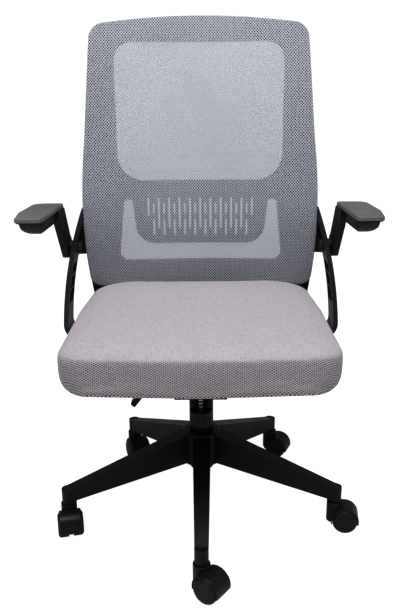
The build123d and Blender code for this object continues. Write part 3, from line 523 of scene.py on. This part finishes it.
def cover_outline():
    """The cover's edge as (x, z), from the middle of the hem up its right side and down its left."""
    hem_x = half_width(cover_hem + cover_hem_corner)
    bow = cover_hem_corner * (1 - math.sqrt(0.5))
    right = line_points((0, cover_hem), (hem_x - cover_hem_corner, cover_hem), hem_points)
    right += arc_points((hem_x - cover_hem_corner, cover_hem), (hem_x - bow, cover_hem + bow),
                        (hem_x, cover_hem + cover_hem_corner), hem_corner_points)
    shoulder_z = back_shoulder - back_top_corner
    low_z = cover_hem + cover_hem_corner
    for i in range(side_points):
        z = low_z + (shoulder_z - low_z) * i / side_points
        right.append((half_width(z), z))
    corner_x = back_top_half - back_top_corner
    bow = back_top_corner * (1 - math.sqrt(0.5))
    right += arc_points((back_top_half, shoulder_z), (back_top_half - bow, back_shoulder - bow),
                        (corner_x, back_shoulder), top_corner_points)
    top = arc_points((corner_x, back_shoulder), (0, back_top), (-corner_x, back_shoulder), top_points)
    right += top[:top_points // 2 + 1]
    left = [(-x, z) for x, z in reversed(right[1:-1])]
    return right + left


def make_cover():
    outline = cover_outline()
    count = len(outline)
    solid = nodes["back_mesh"]
    corners = [vertex.co for vertex in solid.data.vertices]
    tree = BVHTree.FromPolygons(corners, [polygon.vertices for polygon in solid.data.polygons])

    def depth(x, z):
        hit = tree.ray_cast(Vector((x, ray_start, z)), Vector((0, 1, 0)))[0]
        return hit.y if hit else None

    points = []
    faces = []
    middle = (0.0, cover_middle_z)
    points.append((0.0, depth(*middle) - cover_lift, cover_middle_z))
    for ring in range(1, cover_rings + 1):
        share = ring / cover_rings
        for x, z in outline:
            px, pz = middle[0] + (x - middle[0]) * share, middle[1] + (z - middle[1]) * share
            y = depth(px, pz)
            inward = 1 - inward_step
            while y is None:
                y = depth(middle[0] + (px - middle[0]) * inward, middle[1] + (pz - middle[1]) * inward)
                inward -= inward_step
            points.append((px, y - cover_lift, pz))
    outer = points[-count:]
    for grow, back in cover_roll:
        for index, (x, y, z) in enumerate(outer):
            ahead, behind = outer[(index + 1) % count], outer[index - 1]
            tangent = Vector((ahead[0] - behind[0], ahead[2] - behind[2])).normalized()
            points.append((x + tangent.y * grow, y + back, z - tangent.x * grow))
    for index in range(count):
        faces.append((0, 1 + index, 1 + (index + 1) % count))
    for ring in range(cover_rings + len(cover_roll) - 1):
        start = 1 + ring * count
        for index in range(count):
            after = (index + 1) % count
            faces.append((start + index, start + count + index, start + count + after, start + after))
    mesh = bpy.data.meshes.new("back_cover")
    mesh.from_pydata(points, [], faces)
    shaped = bmesh.new()
    shaped.from_mesh(mesh)
    bmesh.ops.recalc_face_normals(shaped, faces=shaped.faces)
    shaped.to_mesh(mesh)
    shaped.free()
    cover = linked("back_cover", mesh)
    smooth(mesh)
    mesh.materials.append(back_fabric())
    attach(cover, "seat")
    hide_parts("back_mesh")


# Finishes of the pieces that come from the solids
def dress(names, material):
    for name in names:
        mesh = nodes[name].data
        mesh.materials.clear()
        mesh.materials.append(material)


def dress_solids():
    corners = ("front", "right_front", "right_rear", "left_rear", "left_front")
    black = moulded_plastic("black_moulding", (0.005, 0.005, 0.0057), (0.0085, 0.0085, 0.0096),
                            rough=0.42, grain=900.0, grain_depth=0.0002)
    strap = moulded_plastic("upright_moulding", (0.0118, 0.0136, 0.016), (0.019, 0.0214, 0.025),
                            rough=0.36, grain=1100.0, grain_depth=0.00015)
    hood = moulded_plastic("castor_moulding", (0.009, 0.009, 0.010), (0.014, 0.014, 0.015),
                           rough=0.34, grain=1300.0, grain_depth=0.00012)
    tread = moulded_plastic("wheel_moulding", (0.011, 0.011, 0.012), (0.018, 0.018, 0.019),
                            rough=0.46, grain=1600.0, grain_depth=0.0001)
    coat = metal("black_powder_coat", (0.0022, 0.0022, 0.0024), rough=0.5, metallic=0.0, speckle=1200.0)
    steel = metal("plated_steel", (0.52, 0.52, 0.53), rough=0.30, metallic=1.0, speckle=900.0)
    dark_steel = metal("blackened_steel", (0.020, 0.020, 0.021), rough=0.38, metallic=0.6, speckle=1000.0)
    rubber = moulded_plastic("stop_rubber", (0.012, 0.012, 0.012), (0.02, 0.02, 0.02),
                             rough=0.7, grain=700.0, grain_depth=0.0003)
    dress(["star_base", "lever_paddle", "tension_knob", "back_frame", "arm_body_left", "arm_body_right",
           "guide_bush"], black)
    dress(["upright_left", "upright_right"], strap)
    dress([f"castor_{c}_hood" for c in corners], hood)
    dress([f"castor_{c}_wheel_{side}" for c in corners for side in "ab"], tread)
    dress(["column_tube", "gas_cylinder", "mechanism_housing", "seat_plate", "height_lever",
           "tilt_spring"], coat)
    dress(["piston_rod", "retaining_clip", "thrust_bearing", "release_pin", "tilt_pin", "lever_pin",
           "tension_bolt"], steel)
    dress([f"castor_{c}_pins" for c in corners], steel)
    dress(["seat_bolts", "upright_bolts", "back_bolts", "arm_pivot_pin_left",
           "arm_pivot_pin_right"], dark_steel)
    dress(["bump_stop"], rubber)
    dress(["seat_pan"], plywood("seat_plywood"))
    dress(["arm_pad_left", "arm_pad_right"], pad_skin("arm_pad_skin"))


# Tension spring: a copy of the solid coil, a little wider and thinner to leave room for the bolt
def make_spring():
    low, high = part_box("tilt_spring")
    axis_y = (low[1] + high[1]) / 2
    coil = linked("tension_coil", nodes["tilt_spring"].data.copy())
    moves = []
    for vertex in coil.data.vertices:
        outward = Vector((vertex.co.x, vertex.co.y - axis_y, 0)).normalized()
        moves.append(outward * spring_wider - vertex.normal * spring_thinner)
    for vertex, move in zip(coil.data.vertices, moves):
        vertex.co += move
    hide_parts("tilt_spring")
    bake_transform(coil)


make_camera()
make_floor()
make_light()
bpy.context.scene.view_settings.view_transform = "Standard"
bpy.context.scene.view_settings.gamma = photo_gamma
make_seat()
make_cover()
dress_solids()
make_spring()
